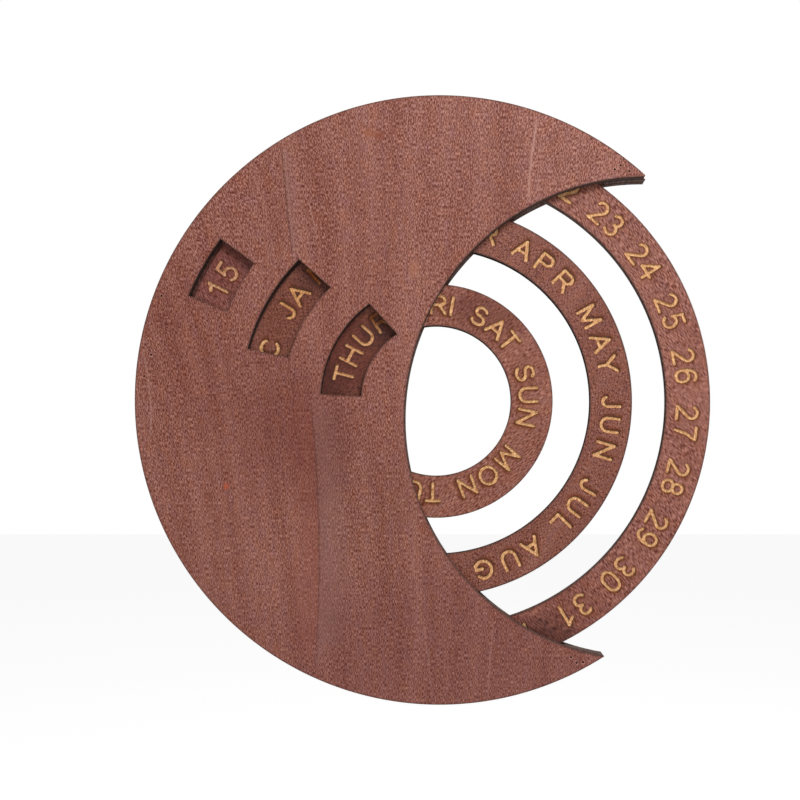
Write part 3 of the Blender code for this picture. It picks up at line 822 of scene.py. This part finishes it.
DIGIT_STEP = 4.6
date_places = [(number, 150.65 - 12.89 * (number - 15)) for number in range(15, 23)]
date_places += list(zip(range(23, 32), (47.5, 34.5, 21.4, 8.3, -4.8, -17.8, -30.85, -43.95, -57.0)))
date_places += [(number, -68.7 - 8.04 * (number - 1)) for number in range(1, 10)]
date_places += [(number, 216.3 - 13.04 * (number - 10)) for number in range(10, 15)]
ring_edge = scorched_edge("ring_edge", RING_FRONT, RING_BACK)
date_veneer = stained_veneer("date_ring_veneer", (0.080, 0.011, 0.003), (0.194, 0.066, 0.045),
                             (0.342, 0.148, 0.115), turn=33.0, fibre=2.0, gain=4.0, seed=151.0,
                             details=date_figure)
date_engraving = engraved(number_letters(date_places), centre=(-0.28, -0.46), radius=100.85,
                          height=9.7, smoke=(0.30, -0.50), strength=0.55, burn=0.5, seed=1)
# Its letters are darkened where they show in the window: painted shade of the window.
ring("date_ring_board", "date_ring", "date_dial", date_engraving, date_veneer, width=17.4,
     turn=33.0, off=(-0.62, 0.30), scorch=[1.0, 1.4], char=[1.3, 1.1],
     patches=(((-89.0, 50.0), (26.0, 26.0), (0.78, 0.72, 0.84)),))


# Month ring: the middle ring, of the same ply, with the twelve months in three letters each.
# Letters that the photograph hides are spaced out between the ones that it shows.
MONTH_TEXT = "JAN FEB MAR APR MAY JUN JUL AUG SEP OCT NOV DEC "
MONTH_SEEN = {0: 149.1, 1: 142.3, 2: 132.4, 10: 72.4, 12: 60.2, 13: 51.8, 14: 43.2, 16: 29.0,
              17: 19.7, 18: 12.05, 20: -0.2, 21: -7.8, 22: -16.4, 24: -29.2, 25: -36.9, 26: -44.75,
              28: -56.8, 29: -65.2, 30: -74.3, 46: -197.4}


def spaced_letters(text, seen, gap, space):
    """Every letter of a ring with its angle. A letter's place along the text is the sum of the
    widths and gaps before it, and its angle is read off between the letters whose angle is known.
    """
    places = []
    here = 0.0
    for letter in text:
        width = space if letter == " " else GLYPHS[letter][0]
        places.append(here + width / 2)
        here += width + gap
    first = min(seen)
    known = sorted(seen) + [len(text) + first]
    known_places = [places[k] for k in known[:-1]] + [here + places[first]]
    known_angles = [seen[k] for k in known[:-1]] + [seen[first] - 360.0]
    angles = np.interp(places, known_places, known_angles)
    return [(letter, angle) for letter, angle in zip(text, angles) if letter != " "]


def month_figure(tree, colour, across, along):
    """Painted shade: the veneer browner where the month shows in its window, most in the window's
    shadowed upper corner.
    """
    return tinted(colour, tree, (((-58.0, 38.0), (32.0, 38.0), (0.78, 0.68, 0.61)),
                                 ((-51.0, 49.0), (11.0, 11.0), (0.62, 0.56, 0.58))))


month_veneer = stained_veneer("month_ring_veneer", (0.055, 0.006, 0.001), (0.162, 0.049, 0.032),
                              (0.282, 0.116, 0.083), turn=-35.0, fibre=1.0, gain=3.4,
                              seed=197.0, details=month_figure)
month_letters = spaced_letters(MONTH_TEXT, MONTH_SEEN, gap=0.62, space=0.35)
month_engraving = engraved(month_letters, centre=(-1.3, -0.1), radius=71.0, height=8.4,
                           smoke=(0.28, 0.68), strength=0.9, burn=0.7, seed=2)
# Its letters are darkened where they show in the window, and the N of JAN most: painted shade, and
# painted shadow of the window's upper edge.
ring("month_ring_board", "month_ring", "month_dial", month_engraving, month_veneer, width=17.1,
     turn=-35.0, off=(0.0, 0.15), scorch=[1.4, 1.4], char=[1.8, 2.0],
     patches=(((-58.0, 42.0), (26.0, 26.0), (0.84, 0.76, 0.66)),
              ((-50.6, 50.2), (6.5, 6.5), (0.55, 0.27, 0.12))))


# Weekday ring: the inner ring, of the same ply, with the seven weekdays round it. A fingertip
# in the middle turns it.
WEEKDAY_TEXT = "THURS FRI SAT SUN MON TUES WED "
WEEKDAY_SEEN = {0: 165.3, 1: 152.8, 2: 138.7, 3: 124.6, 6: 98.5, 7: 87.6, 8: 79.4, 10: 61.3,
                11: 48.5, 12: 37.7, 14: 15.8, 15: 2.2, 16: -11.7, 18: -39.2, 19: -55.1,
                20: -69.6, 22: -91.2, 23: -103.0}


def weekday_figure(tree, colour, across, along):
    """Behind its window, on the left, this ring is much darker and browner: partly its own darker
    wood, partly painted shade of the window, with painted shadow along its edges. It is a little
    darker by SAT.
    """
    return tinted(colour, tree, (((-36.0, 18.0), (38.0, 44.0), (0.43, 0.27, 0.22)),
                                 ((-22.0, 29.0), (12.0, 12.0), (0.56, 0.49, 0.50)),
                                 ((-46.0, 6.0), (12.0, 14.0), (0.62, 0.52, 0.54)),
                                 ((20.0, 34.0), (24.0, 16.0), (0.66, 0.55, 0.52))))


weekday_veneer = stained_veneer("weekday_ring_veneer", (0.080, 0.010, 0.002),
                                (0.196, 0.065, 0.042), (0.325, 0.142, 0.106), turn=-52.0,
                                fibre=1.7, gain=2.9, seed=239.0, details=weekday_figure)
weekday_letters = spaced_letters(WEEKDAY_TEXT, WEEKDAY_SEEN, gap=0.45, space=0.35)
weekday_engraving = engraved(weekday_letters, centre=(-2.1, 0.9), radius=38.1, height=8.4,
                             smoke=(-0.58, -0.45), strength=0.9, burn=0.7, seed=3)
# Its letters are darkened a little in the window, and the top of the R most: painted shade, and
# painted shadow of the window's upper edge.
ring("weekday_ring_board", "weekday_ring", "weekday_dial", weekday_engraving, weekday_veneer,
     width=17.0, turn=-52.0, off=(0.0, 0.15), scorch=[1.0, 1.2], char=[1.6, 2.0],
     patches=(((-34.0, 20.0), (26.0, 34.0), (0.93, 0.86, 0.86)),
              ((-26.5, 33.5), (8.0, 8.0), (0.38, 0.22, 0.14))))


# Brads: nine headless wire brads, 0.8 mm thick, driven in from the front until they stand half a
# millimetre below the face. Their cut tops are dull, and painted near-black brown as shade of the
# holes.
brad_low, brad_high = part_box("brad_upper_tip_1")
BRAD_TOP = 1000.0 * brad_low.y
BRAD_TIP = 1000.0 * brad_high.y
BRAD_RADIUS = 0.40
BRAD_TOP_RADIUS = 0.34
BRAD_TOP_EASE = 0.06
BRAD_POINT_RADIUS = 0.02
BRAD_POINT_LENGTH = 1.2


def turned(profile, place, sides=20):
    """A profile of (radius, depth) turned once round the line through a place in the face."""
    radius, depth = np.array(profile).T
    turn = np.linspace(0.0, math.tau, sides, endpoint=False)
    rows = np.stack([place[0] + np.outer(radius, np.cos(turn)),
                     np.broadcast_to(depth[:, None], (len(depth), sides)),
                     place[1] + np.outer(radius, np.sin(turn))], axis=-1).reshape(-1, 3)
    start = np.array([[place[0], depth[0], place[1]]])
    end = np.array([[place[0], depth[-1], place[1]]])
    index = np.arange(len(profile) * sides).reshape(len(profile), sides)
    ahead = np.roll(index, -1, axis=1)
    walls = np.stack([index[:-1], index[1:], ahead[1:], ahead[:-1]], axis=-1).reshape(-1, 4)
    top = np.stack([np.full(sides, index.size), index[0], ahead[0]], axis=1)
    tip = np.stack([np.full(sides, index.size + 1), ahead[-1], index[-1]], axis=1)
    return np.concatenate([rows, start, end]), walls.tolist() + top.tolist() + tip.tolist()


brad_steel, tree, shader = new_material("brad_steel")
right, depth, up = face_millimetres(tree)
specks = grain(tree, right, up, 0.12, 0.12, 3.0, 2.0)
# Near-black brown steel: dull steel with painted shade of the holes that the brad tops sit in.
tree.links.new(mix(tree, fade(tree, specks, 0.4, 0.7, 0.0, 1.0), (0.016, 0.008, 0.006, 1.0),
                   (0.040, 0.020, 0.015, 1.0)), shader.inputs["Base Color"])
tree.links.new(fade(tree, specks, 0.3, 0.7, 0.35, 0.6), shader.inputs["Roughness"])
shader.inputs["Metallic"].default_value = 1.0
for brad_name, place in brad_places.items():
    profile = ((BRAD_TOP_RADIUS, BRAD_TOP), (BRAD_RADIUS, BRAD_TOP + BRAD_TOP_EASE),
               (BRAD_RADIUS, BRAD_TIP - BRAD_POINT_LENGTH), (BRAD_POINT_RADIUS, BRAD_TIP))
    points, faces = turned(profile, place)
    brad = link_piece(brad_name + "_wire", points, faces, [0] * len(faces),
                      np.zeros(len(points)), (brad_steel,))
    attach(brad, "case")
    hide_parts(brad_name)


# Studio: a soft light high on the right, a weaker one low in front, surroundings that are white to
# the camera and in reflections, and a pale floor well below the calendar, which hangs free here.
FLOOR_Z = -0.62
FLOOR_REACH = 6
FLOOR_GLOW = 0.72
WORLD_LIGHT = 0.26


def seen_directly(tree):
    """1 for what the camera, a mirror or glass sees, 0 for light on its way to the object."""
    path = tree.nodes.new("ShaderNodeLightPath")
    either = calc(tree, "MAXIMUM", path.outputs["Is Camera Ray"], path.outputs["Is Glossy Ray"])
    return calc(tree, "MAXIMUM", either, path.outputs["Is Transmission Ray"])


world = bpy.data.worlds.new("studio")
world.use_nodes = True
tree = world.node_tree
background = tree.nodes["Background"]
background.inputs["Color"].default_value = (1.0, 1.0, 1.0, 1.0)
strength = fade(tree, seen_directly(tree), 0.0, 1.0, WORLD_LIGHT, 1.0)
tree.links.new(strength, background.inputs["Strength"])
bpy.context.scene.world = world

floor_mesh = bpy.data.meshes.new("studio_floor")
floor_corners = [(right * FLOOR_REACH, back * FLOOR_REACH, FLOOR_Z)
                 for right, back in ((-1, -1), (1, -1), (1, 1), (-1, 1))]
floor_mesh.from_pydata(floor_corners, [], [(0, 1, 2, 3)])
floor = bpy.data.objects.new("studio_floor", floor_mesh)
bpy.context.scene.collection.objects.link(floor)
floor_paint, tree, shader = new_material("studio_floor")
shader.inputs["Base Color"].default_value = (0.85, 0.85, 0.85, 1.0)
shader.inputs["Roughness"].default_value = 0.9
shader.inputs["Specular IOR Level"].default_value = 0.0
shader.inputs["Emission Color"].default_value = (1.0, 1.0, 1.0, 1.0)
glow = product(tree, seen_directly(tree), FLOOR_GLOW)
tree.links.new(glow, shader.inputs["Emission Strength"])
floor_mesh.materials.append(floor_paint)

for light_name, place, size, power in (("key_light", (0.30, -0.52, 0.43), 0.50, 7.4),
                                       ("fill_light", (0.15, -0.85, -0.56), 0.5, 3.0)):
    light_data = bpy.data.lights.new(light_name, "AREA")
    light_data.shape = "DISK"
    light_data.size = size
    light_data.energy = power
    light = bpy.data.objects.new(light_name, light_data)
    light.location = place
    aim = np.array([CASE_X, 0.0, CASE_Z]) - np.array(place)
    light.rotation_euler = (math.atan2(math.hypot(aim[0], aim[1]), -aim[2]), 0.0,
                            math.atan2(-aim[0], aim[1]))
    bpy.context.scene.collection.objects.link(light)

bpy.context.scene.view_settings.view_transform = "Standard"
